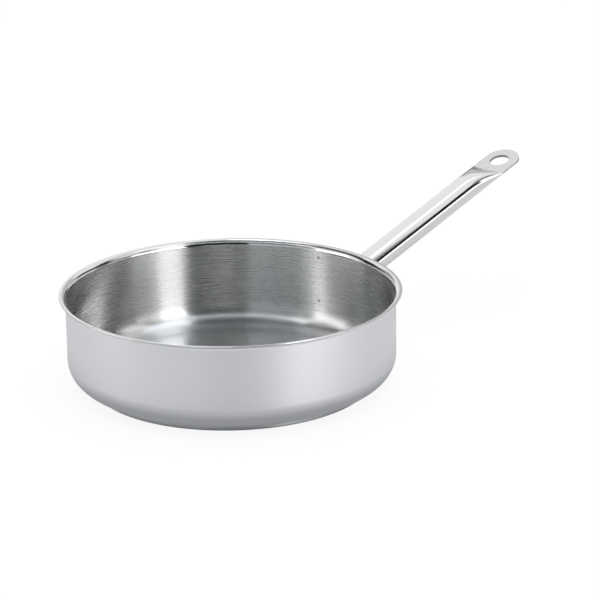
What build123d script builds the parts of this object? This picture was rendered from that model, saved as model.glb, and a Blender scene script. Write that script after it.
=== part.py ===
from build123d import *
import os
from math import asin, atan, cos, degrees, hypot, pi, radians, sin, sqrt

# Straight-sided saute pan of stainless steel, with a pouring lip all round, a sandwich
# base and a tubular handle that is flattened into a hanging tab at its far end.
# Millimetres. The pan's axis is Z, the base stands on Z = 0 and the handle rises along +X.

# Shell: one deep-drawn sheet
inner_diameter = 240.0
wall = 1.0
pan_height = 71.0
corner_radius = 19.0
lip_overhang = 4.7
lip_radius = 3.2

# Sandwich base: an aluminium core held in a stainless cap
base_diameter = 206.0
core_thickness = 3.2
cap_thickness = 0.8
cap_edge_radius = 1.2
joint_groove = 0.4

# Handle tube and its hanging tab
handle_rise = 17.4
handle_root_offset = 0.6
tube_diameter = 19.6
tube_wall = 1.0
root_gap = 0.5
hole_distance = 190.5
hole_diameter = 15.5
tab_flat_before_hole = 14.5
tab_end_offset = 1.0
flattening_length = 33.0
slit_height = 0.2

# Handle bracket: a pressed plate on the straight wall, with a collar that takes the tube
bracket_wall_margin = 0.4
bracket_thickness = 1.5
bracket_corner_radius = 9.0
bracket_side_margin = 7.0
collar_length = 16.0
collar_land = 4.0
collar_base_radius = 16.0
bead_leg = 1.5

# Spot welds that hold the bracket to the shell
weld_spacing_across = 46.0
weld_edge_margin = 4.2
weld_diameter = 4.0
weld_crown = 0.15

# Shape of the flattened stretch: where its sections lie in shares of its length, the straight
# lead before it, and how much each flat side crowns while the tube is still round
section_shares = [0.2, 0.35, 0.5, 0.62, 0.73, 0.83, 0.92, 1.0]
lead_share = 0.12
crown_share = 0.1

# One overrun serves every cut
overrun = 5.0

# Places that follow from the sizes above
outer_radius = inner_diameter / 2 + wall
inner_radius = inner_diameter / 2
lip_reach = outer_radius + lip_overhang
stack_height = cap_thickness + core_thickness
floor_level = stack_height + wall
corner_centre = outer_radius - corner_radius
corner_level = stack_height + corner_radius
flare_centre = outer_radius + lip_radius
flare_level = pan_height - wall - lip_radius
base_radius = base_diameter / 2
core_radius = base_radius - cap_thickness
cap_rim_level = stack_height - joint_groove

tube_radius = tube_diameter / 2
tab_thickness = 2 * tube_wall
tab_half_width = pi * (tube_diameter - tube_wall) / 4 + tube_wall / 2
flat_start = hole_distance - tab_flat_before_hole
flattening_start = flat_start - flattening_length
tab_end_centre = hole_distance + tab_end_offset

bracket_height = flare_level - corner_level - 2 * bracket_wall_margin
bracket_centre_height = (flare_level + corner_level) / 2
bracket_width = weld_spacing_across + 2 * bracket_side_margin
handle_root_height = bracket_centre_height + handle_root_offset
weld_spacing_up = bracket_height - 2 * weld_edge_margin
weld_angle = degrees(asin(weld_spacing_across / 2 / outer_radius))

# The handle's own frame: its origin is where its axis meets the wall, its Z runs out along
# the tube, its X is level and its Y is the upward normal of the tab.
handle_frame = Plane(
    origin=(outer_radius, 0, handle_root_height),
    x_dir=(0, 1, 0),
    z_dir=(cos(radians(handle_rise)), 0, sin(radians(handle_rise))),
)


def turned(edges):
    """Solid of revolution about Z from a closed outline of edges in radius and height."""
    outline = make_face(Wire(edges))
    return revolve(Plane.XZ * outline, Axis.Z, 360)


def pan_body():
    """Shell: floor, corner, straight wall and a lip that flares out to a level brim."""
    brim_end = lip_reach - wall / 2
    under_brim = flare_level + lip_radius
    edges = [
        Line((0, stack_height), (corner_centre, stack_height)),
        CenterArc((corner_centre, corner_level), corner_radius, -90, 90),
        Line((outer_radius, corner_level), (outer_radius, flare_level)),
        CenterArc((flare_centre, flare_level), lip_radius, 180, -90),
        Line((flare_centre, under_brim), (brim_end, under_brim)),
        CenterArc((brim_end, under_brim + wall / 2), wall / 2, -90, 180),
        Line((brim_end, pan_height), (flare_centre, pan_height)),
        CenterArc((flare_centre, flare_level), lip_radius + wall, 90, 90),
        Line((inner_radius, flare_level), (inner_radius, corner_level)),
        CenterArc((corner_centre, corner_level), corner_radius - wall, 0, -90),
        Line((corner_centre, floor_level), (0, floor_level)),
        Line((0, floor_level), (0, stack_height)),
    ]
    return turned(edges) - weld_pins(outer_radius)


def heat_core():
    """Aluminium disc that fills the cap and meets the shell's underside."""
    lower_edge = cap_edge_radius - cap_thickness
    edges = [
        Line((0, cap_thickness), (core_radius - lower_edge, cap_thickness)),
        CenterArc((core_radius - lower_edge, cap_thickness + lower_edge), lower_edge, -90, 90),
        Line((core_radius, cap_thickness + lower_edge), (core_radius, stack_height)),
        Line((core_radius, stack_height), (0, stack_height)),
        Line((0, stack_height), (0, cap_thickness)),
    ]
    return turned(edges)


def base_cap():
    """Shallow dish under and round the core, which ends just short of the shell."""
    lower_edge = cap_edge_radius - cap_thickness
    rim_middle = (base_radius + core_radius) / 2
    rim_level = cap_rim_level - cap_thickness / 2
    edges = [
        Line((0, 0), (base_radius - cap_edge_radius, 0)),
        CenterArc((base_radius - cap_edge_radius, cap_edge_radius), cap_edge_radius, -90, 90),
        Line((base_radius, cap_edge_radius), (base_radius, rim_level)),
        CenterArc((rim_middle, rim_level), cap_thickness / 2, 0, 180),
        Line((core_radius, rim_level), (core_radius, cap_thickness + lower_edge)),
        CenterArc((core_radius - lower_edge, cap_thickness + lower_edge), lower_edge, 0, -90),
        Line((core_radius - lower_edge, cap_thickness), (0, cap_thickness)),
        Line((0, cap_thickness), (0, 0)),
    ]
    return turned(edges)


def along_handle(distance):
    """Plane square to the handle's axis at a distance from the wall."""
    return handle_frame.offset(distance)


def handle_rod(radius, start, end):
    """Round rod on the handle's axis."""
    return extrude(along_handle(start) * Circle(radius), end - start)


def handle_cone(start, start_radius, end, end_radius):
    """Cone on the handle's axis."""
    middle = (start + end) / 2
    return along_handle(middle) * Cone(start_radius, end_radius, end - start)


def pressed_outline(pressed, inset):
    """Section of the tube where it is pressed flat by a share from 0, round, to 1, flat.

    It is an oval of four arcs that run on into each other. The width grows evenly as the height
    falls, which keeps the girth about the same.
    """
    half_height = tube_radius + (tab_thickness / 2 - tube_radius) * pressed - inset
    half_width = tube_radius + (tab_half_width - tube_radius) * pressed - inset
    lean = crown_share * half_height / half_width
    side_centre = (half_width - half_height) / (1 - lean)
    side_radius = half_height - side_centre * lean
    turn = 2 * atan(lean)
    x = side_centre + side_radius * sin(turn)
    y = side_radius * cos(turn)
    return Wire([
        ThreePointArc((-x, y), (0, half_height), (x, y)),
        ThreePointArc((x, y), (half_width, 0), (x, -y)),
        ThreePointArc((x, -y), (0, -half_height), (-x, -y)),
        ThreePointArc((-x, -y), (-half_width, 0), (-x, y)),
    ])


def pressed_stretch(inset, last_share):
    """Loft from the round tube towards the flat tab, as far as a share of the stretch.

    The pressing grows with the square of the way, so the stretch leaves the tube smoothly and
    meets the tab in a crease.
    """
    lead = lead_share * flattening_length
    sections = []
    for place in (flattening_start - lead, flattening_start):
        sections.append(along_handle(place) * pressed_outline(0, inset))
    for share in section_shares:
        way = share * last_share
        outline = pressed_outline(way ** 2, inset)
        sections.append(along_handle(flattening_start + way * flattening_length) * outline)
    return Solid.make_loft(sections)


def handle_tube():
    """Tube from the bracket to the tab, hollow up to where it is pressed flat."""
    bend_start = flattening_start - lead_share * flattening_length
    plate_length = tab_end_centre + tab_half_width - flat_start
    tube = handle_rod(tube_radius, -overrun, bend_start)
    bore = handle_rod(tube_radius - tube_wall, -2 * overrun, bend_start)
    plate_face = make_face(along_handle(flat_start) * pressed_outline(1, 0))
    plate = extrude(plate_face, plate_length, dir=handle_frame.z_dir)
    # The tab's outline seen square on: straight sides and a half-round end
    side_length = tab_end_centre - flat_start + overrun
    tab_plan = Rectangle(2 * tab_half_width + 2 * overrun, side_length)
    tab_plan = Pos(0, -side_length / 2) * tab_plan + Circle(tab_half_width)
    below_end_centre = along_handle(tab_end_centre).origin - handle_frame.y_dir * overrun
    tab_view = Plane(origin=below_end_centre, x_dir=-handle_frame.x_dir, z_dir=handle_frame.y_dir)
    plate = plate & extrude(tab_view * tab_plan, 2 * overrun)
    below_hole = along_handle(hole_distance).origin - handle_frame.y_dir * overrun
    hole_view = Plane(origin=below_hole, x_dir=handle_frame.x_dir, z_dir=handle_frame.y_dir)
    hole = extrude(hole_view * Circle(hole_diameter / 2), 2 * overrun)
    # The bore closes to a slit just before the tab
    slit_pressed = 1 - slit_height / (tube_diameter - tab_thickness)
    outside = tube + pressed_stretch(0, 1) + plate
    inside = bore + pressed_stretch(tube_wall, sqrt(slit_pressed))
    kept = Cylinder(outer_radius + root_gap, 4 * pan_height)
    return outside - inside - hole - kept


def weld_pins(reach):
    """The four weld nuggets, from just inside the shell to just outside what lies at reach."""
    pins = []
    start = inner_radius - weld_crown
    length = reach + weld_crown - start
    for side in (-1, 1):
        for level in (-1, 1):
            height = bracket_centre_height + level * weld_spacing_up / 2
            pin = Pos(start, 0, height) * Rot(0, 90, 0) * extrude(Circle(weld_diameter / 2), length)
            pins.append(Rot(0, 0, side * weld_angle) * pin)
    return pins


def handle_bracket():
    """Plate that follows the wall, with a conical collar pressed out of its middle."""
    outline = RectangleRounded(bracket_width, bracket_height, bracket_corner_radius)
    facing = Plane(origin=(0, 0, bracket_centre_height), x_dir=(0, 1, 0), z_dir=(1, 0, 0))
    block = extrude(facing * outline, outer_radius + bracket_thickness + overrun)
    sheet = Cylinder(outer_radius + bracket_thickness, 4 * pan_height)
    plate = block & sheet
    cone_end = collar_length - collar_land
    mouth_radius = tube_radius + bracket_thickness
    slope = (collar_base_radius - mouth_radius) / cone_end
    back = overrun + bracket_thickness
    cone = handle_cone(-back, collar_base_radius + slope * back, cone_end, mouth_radius)
    land = handle_rod(mouth_radius, cone_end, collar_length)
    hollow = handle_cone(
        -back,
        collar_base_radius + slope * back - bracket_thickness,
        cone_end,
        tube_radius,
    )
    bore = handle_rod(tube_radius, cone_end - overrun, collar_length + overrun)
    shell = Cylinder(outer_radius, 4 * pan_height)
    bracket = plate + cone + land - hollow - bore - shell
    return bracket - weld_pins(outer_radius + bracket_thickness)


def handle_weld():
    """Fillet bead round the tube at the collar's mouth."""
    bulge = bead_leg * (1 + hypot(1, 1)) / 4
    edges = [
        Line((tube_radius, 0), (tube_radius + bead_leg, 0)),
        ThreePointArc(
            (tube_radius + bead_leg, 0),
            (tube_radius + bulge, bulge),
            (tube_radius, bead_leg),
        ),
        Line((tube_radius, bead_leg), (tube_radius, 0)),
    ]
    return along_handle(collar_length) * turned(edges)


nodes = {
    "pan_body": pan_body(),
    "heat_core": heat_core(),
    "base_cap": base_cap(),
    "handle_tube": handle_tube(),
    "handle_bracket": handle_bracket(),
    "handle_weld": handle_weld(),
    "spot_welds": Compound(weld_pins(outer_radius + bracket_thickness)),
}

os.makedirs("parts", exist_ok=True)
for name, shape in nodes.items():
    export_step(shape, "parts/" + name + ".step")
    print(name, round(shape.volume, 1), "mm3")
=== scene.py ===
# %% [markdown]
# # A straight-sided saute pan
# This notebook dresses a finished CAD model of a stainless steel saute pan. The CAD model gives every
# size and place, and these cells add what the eye sees: smooth surfaces, brushed and polished steel,
# a studio round the pan, and a camera.
# The CAD model is loaded first, as a fixed frame. Its box is kept, because the dressed pan has to stay
# inside it.

# %% Load the frame
from math import atan, atan2, cos, pi, radians, sin

import bmesh
import bpy
from mathutils import Matrix, Vector


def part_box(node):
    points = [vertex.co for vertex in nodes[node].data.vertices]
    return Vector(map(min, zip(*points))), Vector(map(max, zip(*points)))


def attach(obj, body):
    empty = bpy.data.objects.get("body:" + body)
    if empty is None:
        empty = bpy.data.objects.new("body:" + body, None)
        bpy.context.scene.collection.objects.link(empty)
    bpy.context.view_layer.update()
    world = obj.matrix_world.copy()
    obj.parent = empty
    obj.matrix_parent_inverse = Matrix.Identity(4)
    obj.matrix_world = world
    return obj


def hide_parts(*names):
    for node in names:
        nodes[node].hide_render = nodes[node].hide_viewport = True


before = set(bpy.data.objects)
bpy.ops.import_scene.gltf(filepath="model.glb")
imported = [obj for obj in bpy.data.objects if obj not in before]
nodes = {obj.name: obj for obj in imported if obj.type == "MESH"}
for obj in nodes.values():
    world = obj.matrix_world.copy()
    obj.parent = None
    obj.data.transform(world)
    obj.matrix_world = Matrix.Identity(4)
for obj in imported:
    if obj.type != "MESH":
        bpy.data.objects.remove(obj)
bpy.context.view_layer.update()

for node_name in sorted(nodes):
    low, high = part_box(node_name)
    print(node_name, [round(value, 4) for value in (*low, *high)])

# %% [markdown]
# Blender works in metres, and cookware is thought of in millimetres, so one factor turns the one into
# the other. The sizes of the pan are the CAD model's own. Those that its boxes show are read from them,
# and the rest, such as the sheet's thickness, are named here once.

# %% Sizes of the pan
MM = 0.001

shell_low, shell_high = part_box("pan_body")
cap_low, cap_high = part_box("base_cap")

wall = 1.0 * MM
corner_radius = 19.0 * MM
lip_overhang = 4.7 * MM
lip_radius = 3.2 * MM
cap_thickness = 0.8 * MM
cap_edge_radius = 1.2 * MM

rim_level = shell_high.z
stack_level = shell_low.z
lip_reach = min(-shell_low.x, -shell_low.y)
outer_radius = lip_reach - lip_overhang
inner_radius = outer_radius - wall
floor_level = stack_level + wall
corner_centre = outer_radius - corner_radius
corner_level = stack_level + corner_radius
flare_centre = outer_radius + lip_radius
flare_level = rim_level - wall - lip_radius
base_radius = min(-cap_low.x, -cap_low.y)
print("Rim at", round(rim_level / MM, 1), "mm, wall radius", round(outer_radius / MM, 1), "mm")

# %% [markdown]
# The handle has a frame of its own. It starts where its axis meets the wall, runs out along the tube,
# and has one direction across the tab and one square to it. Every ring of the handle is placed in this
# frame, so that the tube and the tab stay in line.

# %% Sizes of the handle
handle_rise = radians(17.4)
handle_root_level = 45.5 * MM
tube_radius = 9.8 * MM
tube_wall = 1.0 * MM
hole_distance = 190.5 * MM
hole_radius = 7.75 * MM
flat_before_hole = 14.5 * MM
tab_end_offset = 0.98 * MM
flattening_length = 33.0 * MM

tab_half_thickness = tube_wall
tab_half_width = pi * (2 * tube_radius - tube_wall) / 4 + tube_wall / 2
flat_start = hole_distance - flat_before_hole
flattening_start = flat_start - flattening_length
tab_end_centre = hole_distance + tab_end_offset

handle_root = Vector((outer_radius, 0, handle_root_level))
handle_along = Vector((cos(handle_rise), 0, sin(handle_rise)))
handle_across = Vector((0, 1, 0))
handle_up = handle_along.cross(handle_across)


def on_handle(along, across=0.0, up=0.0):
    """Place in the handle's frame, as a point of the pan's frame."""
    return handle_root + handle_along * along + handle_across * across + handle_up * up


print("Hole at", [round(value / MM, 1) for value in on_handle(hole_distance)])

# %% [markdown]
# Operators act on whatever is selected. The CAD nodes are selected when they come in, so every step
# starts by dropping the selection. The other helpers leave edit mode, apply a modifier at once, and
# finish a piece: its place goes into its mesh, and its shading is smoothed up to the true edges.

# %% Helpers for working by hand
def select_only(piece):
    """Drops the selection and makes one piece the active object."""
    bpy.ops.object.select_all(action="DESELECT")
    piece.select_set(True)
    bpy.context.view_layer.objects.active = piece


def leave_edit():
    bpy.ops.object.mode_set(mode="OBJECT")


def apply_modifier(piece, kind, **settings):
    select_only(piece)
    modifier = piece.modifiers.new(kind.title(), kind)
    for setting, value in settings.items():
        setattr(modifier, setting, value)
    bpy.ops.object.modifier_apply(modifier=modifier.name)


def finish_piece(piece, edge_angle):
    """Puts the place into the mesh, shades it smooth up to an angle and keeps flat faces flat."""
    select_only(piece)
    bpy.ops.object.transform_apply(location=True, rotation=True, scale=True)
    bpy.ops.object.shade_smooth_by_angle(angle=edge_angle)
    apply_modifier(piece, "WEIGHTED_NORMAL", keep_sharp=True)
    print(piece.name, len(piece.data.vertices), "vertices")


# %% [markdown]
# The shell and the base dish are made as on a lathe. A line of vertices follows the cut through the
# sheet, and is then spun round the axis. Arcs join the straight stretches of such a line.

# %% Lathe
ROUND_STEPS = 288
ARC_STEPS = 14
EDGE_STEPS = 8
DOUBLES = 0.002 * MM
LATHE_EDGE = radians(40)


def arc(centre, radius, start, end, steps):
    """Points of an arc in radius and height, without its first point."""
    points = []
    for step in range(1, steps + 1):
        angle = radians(start + (end - start) * step / steps)
        points.append((centre[0] + radius * cos(angle), centre[1] + radius * sin(angle)))
    return points


def lathe(name, outline):
    """Spins an outline of (radius, height) points round the pan's axis."""
    bpy.ops.object.select_all(action="DESELECT")
    first = outline[0]
    bpy.ops.mesh.primitive_plane_add(size=MM, location=(first[0], 0, first[1]))
    piece = bpy.context.active_object
    piece.name = name
    bpy.ops.object.mode_set(mode="EDIT")
    bpy.ops.mesh.select_all(action="SELECT")
    bpy.ops.mesh.merge(type="CENTER")
    for before, after in zip(outline, outline[1:]):
        step = (after[0] - before[0], 0, after[1] - before[1])
        bpy.ops.mesh.extrude_region_move(TRANSFORM_OT_translate={"value": step})
    bpy.ops.mesh.select_all(action="SELECT")
    bpy.ops.mesh.spin(steps=ROUND_STEPS, angle=2 * pi, center=(0, 0, 0), axis=(0, 0, 1))
    bpy.ops.mesh.select_all(action="SELECT")
    bpy.ops.mesh.remove_doubles(threshold=DOUBLES)
    bpy.ops.mesh.normals_make_consistent(inside=False)
    leave_edit()
    return piece


# %% [markdown]
# The shell's line holds both faces of the sheet: out along the floor, up the inside, over the lip, down
# the outside and back underneath. So the thickness is real at the lip, where it shows.

# %% Shell
brim_end = lip_reach - wall / 2
under_brim = rim_level - wall
corner = (corner_centre, corner_level)
flare = (flare_centre, flare_level)

shell_outline = [(0, floor_level), (corner_centre, floor_level)]
shell_outline += arc(corner, corner_radius - wall, -90, 0, ARC_STEPS)
shell_outline += [(inner_radius, flare_level)]
shell_outline += arc(flare, lip_radius + wall, 180, 90, ARC_STEPS)
shell_outline += [(brim_end, rim_level)]
shell_outline += arc((brim_end, rim_level - wall / 2), wall / 2, 90, -90, EDGE_STEPS)
shell_outline += [(flare_centre, under_brim)]
shell_outline += arc(flare, lip_radius, 90, 180, ARC_STEPS)
shell_outline += [(outer_radius, corner_level)]
shell_outline += arc(corner, corner_radius, 0, -90, ARC_STEPS)
shell_outline += [(0, stack_level)]

shell = lathe("pan_shell", shell_outline)
finish_piece(shell, LATHE_EDGE)

# %% [markdown]
# The base is a shallow dish round the aluminium core. Only its rim shows, as a thin ring under the dark
# line of the joint, but it is a whole dish here too.

# %% Base dish
cap_inner_radius = base_radius - cap_thickness
cap_inner_edge = cap_edge_radius - cap_thickness
cap_edge = (base_radius - cap_edge_radius, cap_edge_radius)
cap_rim = (base_radius - cap_thickness / 2, cap_high.z - cap_thickness / 2)

cap_outline = [(0, 0), (cap_edge[0], 0)]
cap_outline += arc(cap_edge, cap_edge_radius, -90, 0, EDGE_STEPS)
cap_outline += [(base_radius, cap_rim[1])]
cap_outline += arc(cap_rim, cap_thickness / 2, 0, 180, EDGE_STEPS)
cap_outline += [(cap_inner_radius, cap_edge_radius)]
cap_outline += arc(cap_edge, cap_inner_edge, 0, -90, EDGE_STEPS)
cap_outline += [(0, cap_thickness)]

dish = lathe("base_dish", cap_outline)
finish_piece(dish, LATHE_EDGE)

# %% [markdown]
# The handle is a tube whose far end a press has squeezed flat. A press keeps the tube's girth, so each
# ring gets wider as it gets lower. The rings are ovals of four arcs: two long flat ones and two round
# ones at the sides. Each ring bows back a little in its middle, which curves the crease.

# %% Rings of the handle
FLAT_POINTS = 14
SIDE_POINTS = 34
CROWN_SHARE = 0.1


def oval(pressed):
    """Ring of (across, up) places where the tube is pressed by a share from 0, round, to 1, flat."""
    half_height = tube_radius + (tab_half_thickness - tube_radius) * pressed
    half_width = tube_radius + (tab_half_width - tube_radius) * pressed
    lean = CROWN_SHARE * half_height / half_width
    side_centre = (half_width - half_height) / (1 - lean)
    side_radius = half_height - side_centre * lean
    turn = 2 * atan(lean)
    flat_radius = half_height + side_centre / sin(turn) * cos(turn)
    ring = []
    for step in range(SIDE_POINTS):
        angle = (pi - 2 * turn) * (step / SIDE_POINTS - 0.5)
        ring.append((side_centre + side_radius * cos(angle), side_radius * sin(angle)))
    for step in range(FLAT_POINTS):
        angle = pi / 2 - turn + 2 * turn * step / FLAT_POINTS
        ring.append((flat_radius * cos(angle), half_height - flat_radius * (1 - sin(angle))))
    return ring + [(-across, -up) for across, up in ring]


def place_ring(piece, along, pressed, bow):
    """Moves the selected ring to its station and presses it."""
    mesh = bmesh.from_edit_mesh(piece.data)
    place = mesh.verts.layers.int["place"]
    ring = oval(pressed)
    for vertex in mesh.verts:
        if vertex.select:
            across, up = ring[vertex[place]]
            back = bow * (1 - (across / tab_half_width) ** 2)
            vertex.co = on_handle(along - back, across, up)
    bmesh.update_edit_mesh(piece.data)


# %% [markdown]
# The ring is extruded from station to station and reshaped at each one. The first stations are round,
# the next ones are pressed more and more, and the last two carry the flat tab past its end.

# %% Tube and pressed stretch
TUBE_STEPS = 6
PRESS_STEPS = 44
PRESS_POWER = 2
BOW_POWER = 6
crease_bow = 1.3 * MM
tube_start = 4.0 * MM
tab_overrun = 2.0 * MM

stations = []
for step in range(TUBE_STEPS):
    stations.append((tube_start + (flattening_start - tube_start) * step / TUBE_STEPS, 0.0, 0.0))
for step in range(PRESS_STEPS + 1):
    way = step / PRESS_STEPS
    along = flattening_start + way * flattening_length
    stations.append((along, way ** PRESS_POWER, crease_bow * way ** BOW_POWER))
stations.append((flat_start + 2 * crease_bow, 1.0, 0.0))
stations.append((tab_end_centre + tab_half_width + tab_overrun, 1.0, 0.0))

bpy.ops.object.select_all(action="DESELECT")
ring_count = 2 * (FLAT_POINTS + SIDE_POINTS)
bpy.ops.mesh.primitive_circle_add(vertices=ring_count, radius=tube_radius, fill_type="NGON")
handle = bpy.context.active_object
handle.name = "handle_bar"
bpy.ops.object.mode_set(mode="EDIT")
bpy.ops.mesh.select_all(action="SELECT")
mesh = bmesh.from_edit_mesh(handle.data)
place = mesh.verts.layers.int.new("place")
mesh.verts.ensure_lookup_table()
for number, vertex in enumerate(mesh.verts):
    vertex[place] = number
bmesh.update_edit_mesh(handle.data)
place_ring(handle, *stations[0])
for station in stations[1:]:
    bpy.ops.mesh.extrude_region_move()
    place_ring(handle, *station)
bpy.ops.mesh.select_all(action="SELECT")
bpy.ops.mesh.normals_make_consistent(inside=False)
leave_edit()

# %% [markdown]
# The tab's end is cut round and its hole is punched, both square to the tab, just as a punch would do
# it. Each cut is a boolean with a tool that is deleted afterwards.

# %% Punching the tab
PUNCH_STEPS = 128
TAB_EDGE = radians(20)
punch_depth = 12.0 * MM
scrap_length = tab_half_width + 6.0 * MM
square_to_tab = Matrix((handle_along, handle_across, handle_up)).transposed().to_euler()


def punch(radius, along):
    """Round tool that stands square to the tab."""
    bpy.ops.object.select_all(action="DESELECT")
    bpy.ops.mesh.primitive_cylinder_add(
        vertices=PUNCH_STEPS,
        radius=radius,
        depth=punch_depth,
        location=on_handle(along),
        rotation=square_to_tab,
    )
    return bpy.context.active_object


def cut(piece, tool):
    apply_modifier(piece, "BOOLEAN", object=tool, operation="DIFFERENCE", solver="EXACT")
    bpy.data.objects.remove(tool)


bpy.ops.object.select_all(action="DESELECT")
bpy.ops.mesh.primitive_cube_add(
    size=1,
    location=on_handle(tab_end_centre + scrap_length / 2),
    rotation=square_to_tab,
)
scrap = bpy.context.active_object
scrap.scale = (scrap_length, 2 * scrap_length, punch_depth / 2)
select_only(scrap)
bpy.ops.object.transform_apply(location=False, rotation=False, scale=True)
cut(scrap, punch(tab_half_width, tab_end_centre))
cut(handle, scrap)
cut(handle, punch(hole_radius, hole_distance))
finish_piece(handle, TAB_EDGE)

# %% [markdown]
# Shader maths reads best as plain Python. A small class wraps a socket and takes Python's signs, so
# that `1 - mask` adds the Math node for it. Everything else comes from one method, which makes a node
# of any type with its settings and its inputs.

# %% Values and finishes
class Value:
    """A number, colour or vector on its way through a material."""

    def __init__(self, finish, socket):
        self.finish = finish
        self.socket = socket

    def maths(self, operation, *numbers):
        inputs = dict(enumerate(numbers))
        return self.finish.node("ShaderNodeMath", {"operation": operation}, inputs)

    def __add__(self, other):
        return self.maths("ADD", self, other)

    __radd__ = __add__

    def __sub__(self, other):
        return self.maths("SUBTRACT", self, other)

    def __rsub__(self, other):
        return self.maths("SUBTRACT", other, self)

    def __mul__(self, other):
        return self.maths("MULTIPLY", self, other)

    def __truediv__(self, other):
        return self.maths("DIVIDE", self, other)

    def __pow__(self, other):
        return self.maths("POWER", self, other)

    def __gt__(self, other):
        return self.maths("GREATER_THAN", self, other)

    def __abs__(self):
        return self.maths("ABSOLUTE", self)

    def __or__(self, other):
        """The larger of two masks."""
        return self.maths("MAXIMUM", self, other)


class Finish:
    """A material under way, or the world's own node tree."""

    def __init__(self, owner):
        owner.use_nodes = True
        self.owner = owner
        self.tree = owner.node_tree
        self.tree.nodes.clear()

    def node(self, kind, settings=None, inputs=None, output=0):
        """Adds a node: its settings first, then its inputs as values or links."""
        made = self.tree.nodes.new(kind)
        for setting, value in (settings or {}).items():
            if setting == "stops":
                self.set_stops(made.color_ramp, value)
            else:
                setattr(made, setting, value)
        for key, value in (inputs or {}).items():
            if isinstance(value, Value):
                self.tree.links.new(value.socket, made.inputs[key])
            else:
                made.inputs[key].default_value = value
        return Value(self, made.outputs[output]) if made.outputs else None

    def set_stops(self, ramp, stops):
        while len(ramp.elements) < len(stops):
            ramp.elements.new(1.0)
        for element, (position, colour) in zip(ramp.elements, stops):
            element.position = position
            element.color = colour

    def ramp(self, value, stops):
        greys = [(position, (grey, grey, grey, 1)) for position, grey in stops]
        return self.node("ShaderNodeValToRGB", {"stops": greys}, {0: value})

    def noise(self, vector, scale, detail=2.0, roughness=0.5):
        inputs = {"Vector": vector, "Scale": scale, "Detail": detail, "Roughness": roughness}
        return self.node("ShaderNodeTexNoise", None, inputs)

    def place(self):
        """Object coordinates, as a vector."""
        return self.node("ShaderNodeTexCoord", None, None, "Object")

    def parts(self, vector):
        """The three numbers of a vector."""
        return [self.node("ShaderNodeSeparateXYZ", None, {0: vector}, axis) for axis in "XYZ"]

    def combine(self, x, y, z):
        return self.node("ShaderNodeCombineXYZ", None, {0: x, 1: y, 2: z})

    def bump(self, height, distance):
        inputs = {"Height": height, "Strength": 1.0, "Distance": distance}
        return self.node("ShaderNodeBump", None, inputs)

    def ray(self, kind):
        """1 for one kind of ray, 0 for all others."""
        return self.node("ShaderNodeLightPath", None, None, f"Is {kind} Ray")

    def steel(self, inputs):
        """Principled shader of bare metal, to the output."""
        shader = self.node("ShaderNodeBsdfPrincipled", None, {"Metallic": 1.0, **inputs})
        self.node("ShaderNodeOutputMaterial", None, {"Surface": shader})
        return self.owner


def new_finish(name):
    return Finish(bpy.data.materials.new(name))


# %% [markdown]
# The shell is brushed: fine scratches run round the pan, because it turns under the abrasive. Scratches
# smear a reflection across themselves, which is anisotropy. The wall then shows upright bands of the
# studio, and the floor shows bright fans. Without a tangent of its own, the shader takes the direction
# round the piece's upright axis, which is just how the scratches run.
# The bend between floor and wall is smoother, and the lip is polished. Noise that is drawn out long
# round the pan makes the scratches: a fine one and a coarser one change the dullness, and the coarser
# one also roughens the surface very slightly.

# %% Brushed steel
BEND_END = 8.0 * MM
BEND_POLISHED = 11.0 * MM
BEND_START = 17.0 * MM
NEAR_AXIS = 0.1 * MM
ROUND_THE_PAN = 0.25
FINE_ROUND = 3.0
FINE_ALONG = 1500.0
STREAKS_ALONG = 420.0
EVEN_SHARE = 0.78
FINE_SHARE = 0.2
STREAK_SHARE = 0.25


def brushed_steel(name, colour, dullness, anisotropy, scratch_depth):
    """Steel brushed round the pan's axis. Its dullness is given for wall, floor, bend and lip."""
    on_wall, on_floor, on_bend, on_lip = dullness
    finish = new_finish(name)
    x, y, z = finish.parts(finish.place())
    radius = (x * x + y * y) ** 0.5 + NEAR_AXIS
    run = radius - z
    fine_place = finish.combine(
        x / radius * FINE_ROUND,
        y / radius * FINE_ROUND,
        run * FINE_ALONG,
    )
    fine = finish.noise(fine_place, 1.0)
    streak_place = finish.combine(x / radius, y / radius, run * STREAKS_ALONG)
    streaks = finish.noise(streak_place, 1.0, detail=4.0, roughness=0.7)
    lip = z > flare_level
    rough = finish.ramp(z / rim_level, [
        (BEND_END / rim_level, on_floor),
        (BEND_POLISHED / rim_level, on_bend),
        (BEND_START / rim_level, on_wall),
    ])
    rough = rough + lip * (on_lip - on_wall)
    return finish.steel({
        "Base Color": colour,
        "Roughness": rough * (EVEN_SHARE + fine * FINE_SHARE + streaks * STREAK_SHARE),
        "Anisotropic": anisotropy,
        "Anisotropic Rotation": ROUND_THE_PAN,
        "Normal": finish.bump(streaks * (1 - lip), scratch_depth),
    })


shell_inside = brushed_steel(
    "shell_inside",
    colour=(0.74, 0.74, 0.74, 1),
    dullness=(0.27, 0.2, 0.17, 0.12),
    anisotropy=1.0,
    scratch_depth=0.004 * MM,
)
shell_outside = brushed_steel(
    "shell_outside",
    colour=(0.74, 0.745, 0.775, 1),
    dullness=(0.4, 0.4, 0.4, 0.12),
    anisotropy=0.3,
    scratch_depth=0.004 * MM,
)
cap_finish = brushed_steel(
    "cap_satin",
    colour=(0.7, 0.72, 0.74, 1),
    dullness=(0.35, 0.35, 0.35, 0.1),
    anisotropy=0.5,
    scratch_depth=0.001 * MM,
)

# %% [markdown]
# The handle is polished almost to a mirror, but the tab keeps the dull, slightly grained face that the
# press left. A ramp along the handle's axis leads from one finish to the other before the crease.

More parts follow.
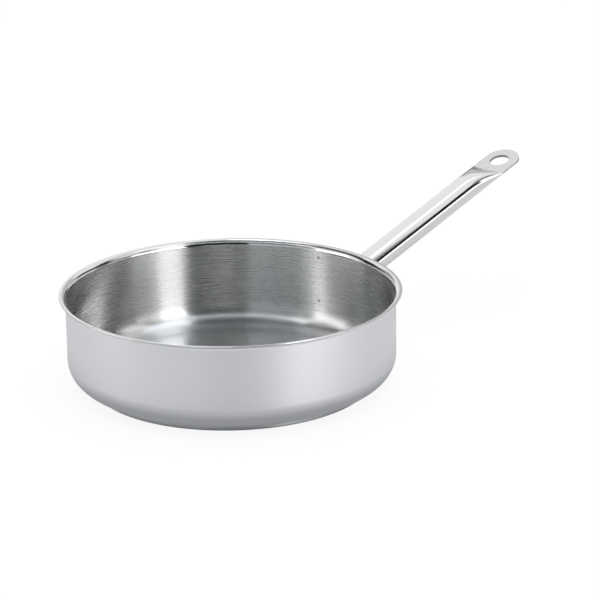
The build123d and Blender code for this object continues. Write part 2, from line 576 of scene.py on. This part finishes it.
# %% Polished steel
POLISH_END = flat_start - 12.0 * MM
SATIN_START = flat_start - 1.0 * MM
TAB_GRAIN = 2600.0
POLISH_GREY = 0.77
POLISH_DULLNESS = 0.09
GRAIN_DARKNESS = 0.12
GRAIN_DULLNESS = 0.16
SATIN_DULLNESS = 0.2
TAB_GRAIN_DEPTH = 0.015 * MM


def polished_steel(name):
    """Mirror finish on the tube and a grained satin one on the tab."""
    finish = new_finish(name)
    place = finish.place()
    x, _, z = finish.parts(place)
    along = (x - handle_root.x) * handle_along.x + (z - handle_root.z) * handle_along.z
    way = (along - POLISH_END) / (SATIN_START - POLISH_END)
    satin = finish.ramp(way, [(0.0, 0.0), (1.0, 1.0)])
    grain = finish.noise(place, TAB_GRAIN, detail=3.0, roughness=0.6)
    return finish.steel({
        "Base Color": POLISH_GREY - satin * grain * GRAIN_DARKNESS,
        "Roughness": POLISH_DULLNESS + satin * (SATIN_DULLNESS + grain * GRAIN_DULLNESS),
        "Normal": finish.bump(grain * satin, TAB_GRAIN_DEPTH),
    })


handle_finish = polished_steel("handle_polish")

# %% [markdown]
# The hidden pieces get simple finishes of their own: a satin bracket, dull weld metal, and the plain
# rolled aluminium of the core, which shows only as the dark line over the base's rim. The tab's cut
# edge is darker and duller than its faces.

# %% Finishes of the small pieces
GRAIN_SPREAD = 0.2


def plain_metal(name, colour, roughness, grain_scale, grain_depth):
    """Metal whose dullness varies a little round its middle value, with the grain."""
    finish = new_finish(name)
    grain = finish.noise(finish.place(), grain_scale, detail=3.0, roughness=0.6)
    return finish.steel({
        "Base Color": colour,
        "Roughness": grain * GRAIN_SPREAD + (roughness - GRAIN_SPREAD / 2),
        "Normal": finish.bump(grain, grain_depth),
    })


bracket_finish = plain_metal("bracket_satin", (0.73, 0.73, 0.74, 1), 0.32, 900.0, 0.01 * MM)
weld_finish = plain_metal("weld_dull", (0.55, 0.54, 0.53, 1), 0.45, 700.0, 0.06 * MM)
edge_finish = plain_metal("cut_edge", (0.3, 0.3, 0.3, 1), 0.45, 900.0, 0.01 * MM)
core_finish = plain_metal("core_rolled", (0.5, 0.5, 0.5, 1), 0.5, 1200.0, 0.01 * MM)

# %% [markdown]
# The spot welds come through the wall as four small marks, brushed over with it. Each mark has a dark
# spot of painted shade in its middle, for the shade in the weld's small dimple. The painted shade is
# strong on the side of +Y and faint on the other side.

# %% Finish of the weld marks
WELD_ACROSS = 23.0 * MM
WELD_MIDDLE = 44.9 * MM
WELD_APART = 17.3 * MM
PIT_RADIUS = 0.9 * MM
MARK_GREY = 0.74
PIT_SHADE_DARKNESS = 0.6
FAINT_PIT_SHADE = 0.1


def weld_mark_finish(name):
    """Brushed like the wall, with a spot of painted shade where the distance from a mark's middle is
    small.
    """
    finish = new_finish(name)
    _, y, z = finish.parts(finish.place())
    aside = abs(y) - WELD_ACROSS
    level = abs(z - WELD_MIDDLE) - WELD_APART
    distance = (aside * aside + level * level) ** 0.5
    # Painted shade: a dark spot in each mark's middle, strong on the +Y side and faint on the other.
    painted_pit_shade = (1 - (distance > PIT_RADIUS)) * (FAINT_PIT_SHADE + (y > 0) * (1 - FAINT_PIT_SHADE))
    return finish.steel({
        "Base Color": MARK_GREY - painted_pit_shade * PIT_SHADE_DARKNESS,
        "Roughness": 0.3,
        "Anisotropic": 1.0,
        "Anisotropic Rotation": ROUND_THE_PAN,
    })


mark_finish = weld_mark_finish("weld_marks")

# %% [markdown]
# Each finish goes on its piece. The shell wears two: its faces are sorted into inside and outside by
# their normals and their place, with the change on the brim. The handle wears two as well: the faces
# round the tab's outline and its hole, which stand square to the tab, get the cut edge's finish.

# %% Dressing the pieces
FACES_UP = 0.02
EDGE_LEAN = 0.4


def wear(piece, finish):
    piece.data.materials.clear()
    piece.data.materials.append(finish)


wear(shell, shell_outside)
shell.data.materials.append(shell_inside)
for face in shell.data.polygons:
    distance = (face.center.x ** 2 + face.center.y ** 2) ** 0.5
    outward = face.normal.x * face.center.x + face.normal.y * face.center.y
    outward /= max(distance, MM)
    inside = face.normal.z > FACES_UP or (outward < 0 and face.center.z > floor_level)
    face.material_index = 1 if inside else 0

wear(dish, cap_finish)

wear(handle, handle_finish)
handle.data.materials.append(edge_finish)
for face in handle.data.polygons:
    along = (face.center - handle_root).dot(handle_along)
    sideways = abs(face.normal.dot(handle_up)) < EDGE_LEAN
    face.material_index = 1 if sideways and along > flat_start else 0

wear(nodes["handle_bracket"], bracket_finish)
wear(nodes["handle_weld"], weld_finish)
wear(nodes["spot_welds"], mark_finish)
wear(nodes["heat_core"], core_finish)

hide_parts("pan_body")
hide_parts("base_cap")
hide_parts("handle_tube")
for piece in (shell, dish, handle):
    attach(piece, "root")

# %% [markdown]
# The camera stands where the photographer's stood. Its place was found by fitting the rim, the base and
# the handle's hole to the picture: it looks down 18.7 degrees from 2.38 metres away, with a long lens.

# %% Camera
camera_place = Vector((-1.5707, -1.5872, 0.8176))
camera_heading = -46.0
camera_drop = 18.69
camera_roll = -0.849
camera_lens = 193.07
camera_turn = (
    Matrix.Rotation(radians(camera_heading), 3, "Z")
    @ Matrix.Rotation(radians(90 - camera_drop), 3, "X")
    @ Matrix.Rotation(radians(camera_roll), 3, "Z")
)
bpy.ops.object.camera_add(location=camera_place, rotation=camera_turn.to_euler())
camera = bpy.context.active_object
camera.data.lens = camera_lens
camera.data.sensor_width = 36.0
scene = bpy.context.scene
scene.camera = camera

# %% [markdown]
# The world is white for the camera and for metal that mirrors it, but the light that it sheds on things
# stays at a plain level.

# %% World
AIR_LIGHT = 0.4
WHITE = (1, 1, 1, 1)
scene.view_settings.view_transform = "Standard"
scene.world = bpy.data.worlds.new("studio_air")

air = Finish(scene.world)
seen = air.ray("Camera") | air.ray("Glossy") | air.ray("Transmission")
white_air = air.node("ShaderNodeBackground", None, {"Color": WHITE, "Strength": 1.0})
plain_air = air.node("ShaderNodeBackground", None, {"Color": WHITE, "Strength": AIR_LIGHT})
both_airs = air.node("ShaderNodeMixShader", None, {0: seen, 1: plain_air, 2: white_air})
air.node("ShaderNodeOutputWorld", None, {"Surface": both_airs})

# %% [markdown]
# The floor is a plain light grey, and takes the pan's shadow. The camera alone sees it through a white
# veil, so the background comes out nearly white and the shadow stays faint. The floor lies a hair below
# the base, so that the two never fight for the same place.

# %% Floor
FLOOR_SIZE = 12.0
FLOOR_GAP = 0.1 * MM
FLOOR_GREY = (0.9, 0.9, 0.9, 1)
FLOOR_GLOW = 1.05
CAMERA_WHITENING = 0.85

bpy.ops.object.select_all(action="DESELECT")
bpy.ops.mesh.primitive_plane_add(size=FLOOR_SIZE, location=(0, 0, -FLOOR_GAP))
floor = bpy.context.active_object
floor.name = "studio_floor"
floor_finish = new_finish("studio_floor_white")
matt = floor_finish.node("ShaderNodeBsdfDiffuse", None, {"Color": FLOOR_GREY})
glow = floor_finish.node("ShaderNodeEmission", None, {"Color": WHITE, "Strength": FLOOR_GLOW})
veil_share = floor_finish.ray("Camera") * CAMERA_WHITENING
veiled = floor_finish.node("ShaderNodeMixShader", None, {0: veil_share, 1: matt, 2: glow})
floor_finish.node("ShaderNodeOutputMaterial", None, {"Surface": veiled})
wear(floor, floor_finish.owner)

# %% [markdown]
# One broad lamp overhead lights the floor, and gives the pan its soft shadow. The steel doesn't mirror
# it, because the cards do that work.

# %% Overhead lamp
OVERHEAD_LIGHT = 1.45
OVERHEAD_SPREAD = radians(70)
bpy.ops.object.select_all(action="DESELECT")
bpy.ops.object.light_add(type="SUN", location=(0, 0, 2))
overhead = bpy.context.active_object
overhead.name = "overhead_lamp"
overhead.data.energy = OVERHEAD_LIGHT
overhead.data.angle = OVERHEAD_SPREAD
overhead.visible_glossy = False

# %% [markdown]
# Bare steel looks like whatever stands round it. A photographer sets grey and black cards and bright
# boxes round the pan, out of the picture, and the steel turns them into its bands. Each card here is
# part of a round screen, seen only in reflections. Its bearing is counted from the camera's side of the
# pan, to the camera's left, and its height as an angle from the pan.

# %% Making a card
camera_side = atan2(camera_place.y, camera_place.x)
CARD_DISTANCE = 2.0
CARD_STEP = 2.0


def sweep_card(name, line, start, end, brightness, tint):
    """Card swept round the pan from a line between two (distance, height) points."""
    (distance, height), (far_distance, far_height) = line
    bpy.ops.object.select_all(action="DESELECT")
    first = camera_side - radians(end)
    bpy.ops.mesh.primitive_plane_add(size=MM, location=(0, 0, 0))
    card = bpy.context.active_object
    card.name = name
    bpy.ops.object.mode_set(mode="EDIT")
    bpy.ops.mesh.select_all(action="SELECT")
    bpy.ops.mesh.merge(type="CENTER")
    bpy.ops.transform.translate(value=(distance * cos(first), distance * sin(first), height))
    reach = far_distance - distance
    rise = (reach * cos(first), reach * sin(first), far_height - height)
    bpy.ops.mesh.extrude_region_move(TRANSFORM_OT_translate={"value": rise})
    bpy.ops.mesh.select_all(action="SELECT")
    steps = max(1, round((end - start) / CARD_STEP))
    turn = -radians(end - start)
    bpy.ops.mesh.spin(steps=steps, angle=turn, center=(0, 0, 0), axis=(0, 0, 1))
    leave_edit()
    finish = new_finish(name)
    glow = finish.node("ShaderNodeEmission", None, {"Color": (*tint, 1), "Strength": brightness})
    finish.node("ShaderNodeOutputMaterial", None, {"Surface": glow})
    wear(card, finish.owner)
    card.visible_camera = False
    card.visible_diffuse = False
    card.visible_shadow = False


def studio_card(name, start, end, low, high, brightness, tint=(1, 1, 1)):
    """Card on a round screen between two bearings and two heights, all in degrees."""
    line = [
        (CARD_DISTANCE * cos(radians(angle)), CARD_DISTANCE * sin(radians(angle)))
        for angle in (low, high)
    ]
    sweep_card(name, line, start, end, brightness, tint)


# %% [markdown]
# Each row holds a card's name, its two bearings, its two heights, its brightness, and a tint where the
# card isn't neutral. No two cards overlap. Most brightnesses were not chosen by eye: a least-squares fit
# of renders to the photograph gave them for a finer grid of cells, and these cards merge its cells and
# round its results. The stripe cards, the front ones overhead and a few others were changed one by one.

# %% Cards round the pan
COOL = (0.88, 0.94, 1.0)
GREENISH = (0.65, 1.0, 0.65)
CARDS = (
    ("low_back", 180, 205, 0, 10, 0.02),
    ("low_right_box", -140, -112, 0, 10, 1.4),
    ("low_right_grey", -112, -97, 0, 10, 0.6),
    ("low_right", -97, -76, 0, 10, 1.5),
    ("low_key_side", -76, -58, 0, 10, 3.2),
    ("low_key", -58, -31, 0, 10, 4.0),
    ("low_front", -31, 14, 0, 10, 0.02),
    ("low_left_box", 71, 104, 0, 10, 2.0),
    ("low_left_grey", 104, 140, 0, 10, 0.75),
    ("right_back", -180, -140, 10, 28, 0.6),
    ("right_black", -140, -76, 10, 28, 0.02, GREENISH),
    ("key_side", -76, -54, 10, 28, 1.35),
    ("key_box", -54, -35.5, 10, 28, 4.2),
    ("key_top_side", -67, -57, 28, 42, 0.95),
    ("key_top", -57, -37, 28, 42, 2.7),
    ("key_over", -67, -37, 42, 57, 0.8),
    ("front_black", -35.5, 14, 10, 57, 0.02, GREENISH),
    ("front_grey", 14, 66, 10, 28, 0.57, COOL),
    ("front_grey_top", 14, 68, 28, 42, 0.08, GREENISH),
    ("front_grey_over", 14, 60, 42, 57, 0.4, COOL),
    ("left_box", 66, 96, 10, 28, 2.1),
    ("left_box_edge", 96, 112, 10, 28, 0.85),
    ("left_box_top", 72, 112, 28, 42, 1.2),
    ("left_high", 88, 112, 42, 57, 0.45),
    ("back_left_low", 112, 140, 10, 57, 0.02, GREENISH),
    ("back_left", 140, 163, 10, 28, 0.35),
    ("back_left_high", 140, 163, 42, 57, 0.3),
    ("right_edge", -122, -104, 28, 42, 0.05, GREENISH),
    ("right_grey", -130, -104, 42, 57, 0.65),
    ("stripe_low", -82, -67, 29, 32, 0.06),
    ("stripe_middle", -82, -67, 32, 48, 0.3),
    ("stripe_top", -82, -67, 48, 52, 0.06),
    ("over_right", -125, -62, 57, 75, 1.5, COOL),
    ("over_front", -62, 96, 57, 62, 1.8, COOL),
    ("over_front_top", -62, 96, 62, 75, 0.35, COOL),
    ("over_left", 96, 150, 57, 75, 0.06),
    ("over_back", 150, 180, 57, 75, 2.6),
    ("zenith", -180, 180, 75, 90, 0.08),
)
for card in CARDS:
    studio_card(*card)

# %% [markdown]
# A glowing grey mat lies on the table round the base, and is seen only in reflections too. It is painted
# shadow: its rings glow darker the closer they lie to the pan, and stand in for the pan's shadow on the
# floor. The lower corner of the pan and the base's rim look down at it, so they turn darker than the
# wall above.

# %% Painted shadow round the base
MAT_TINT = (0.96, 0.98, 1.0)
MAT_LEVEL = 0.5 * MM
# Rings of painted shadow: darkest next to the pan, lighter further out.
PAINTED_SHADOW_RINGS = (
    ("mat_painted_contact_shadow", 104 * MM, 107 * MM, 0.15),
    ("mat_painted_shadow_inner", 107 * MM, 130 * MM, 0.38),
    ("mat_painted_shadow_outer", 130 * MM, 160 * MM, 0.56),
)
for name, ring_start, ring_end, brightness in PAINTED_SHADOW_RINGS:
    ring = [(ring_start, MAT_LEVEL), (ring_end, MAT_LEVEL)]
    sweep_card(name, ring, -180, 180, brightness, MAT_TINT)
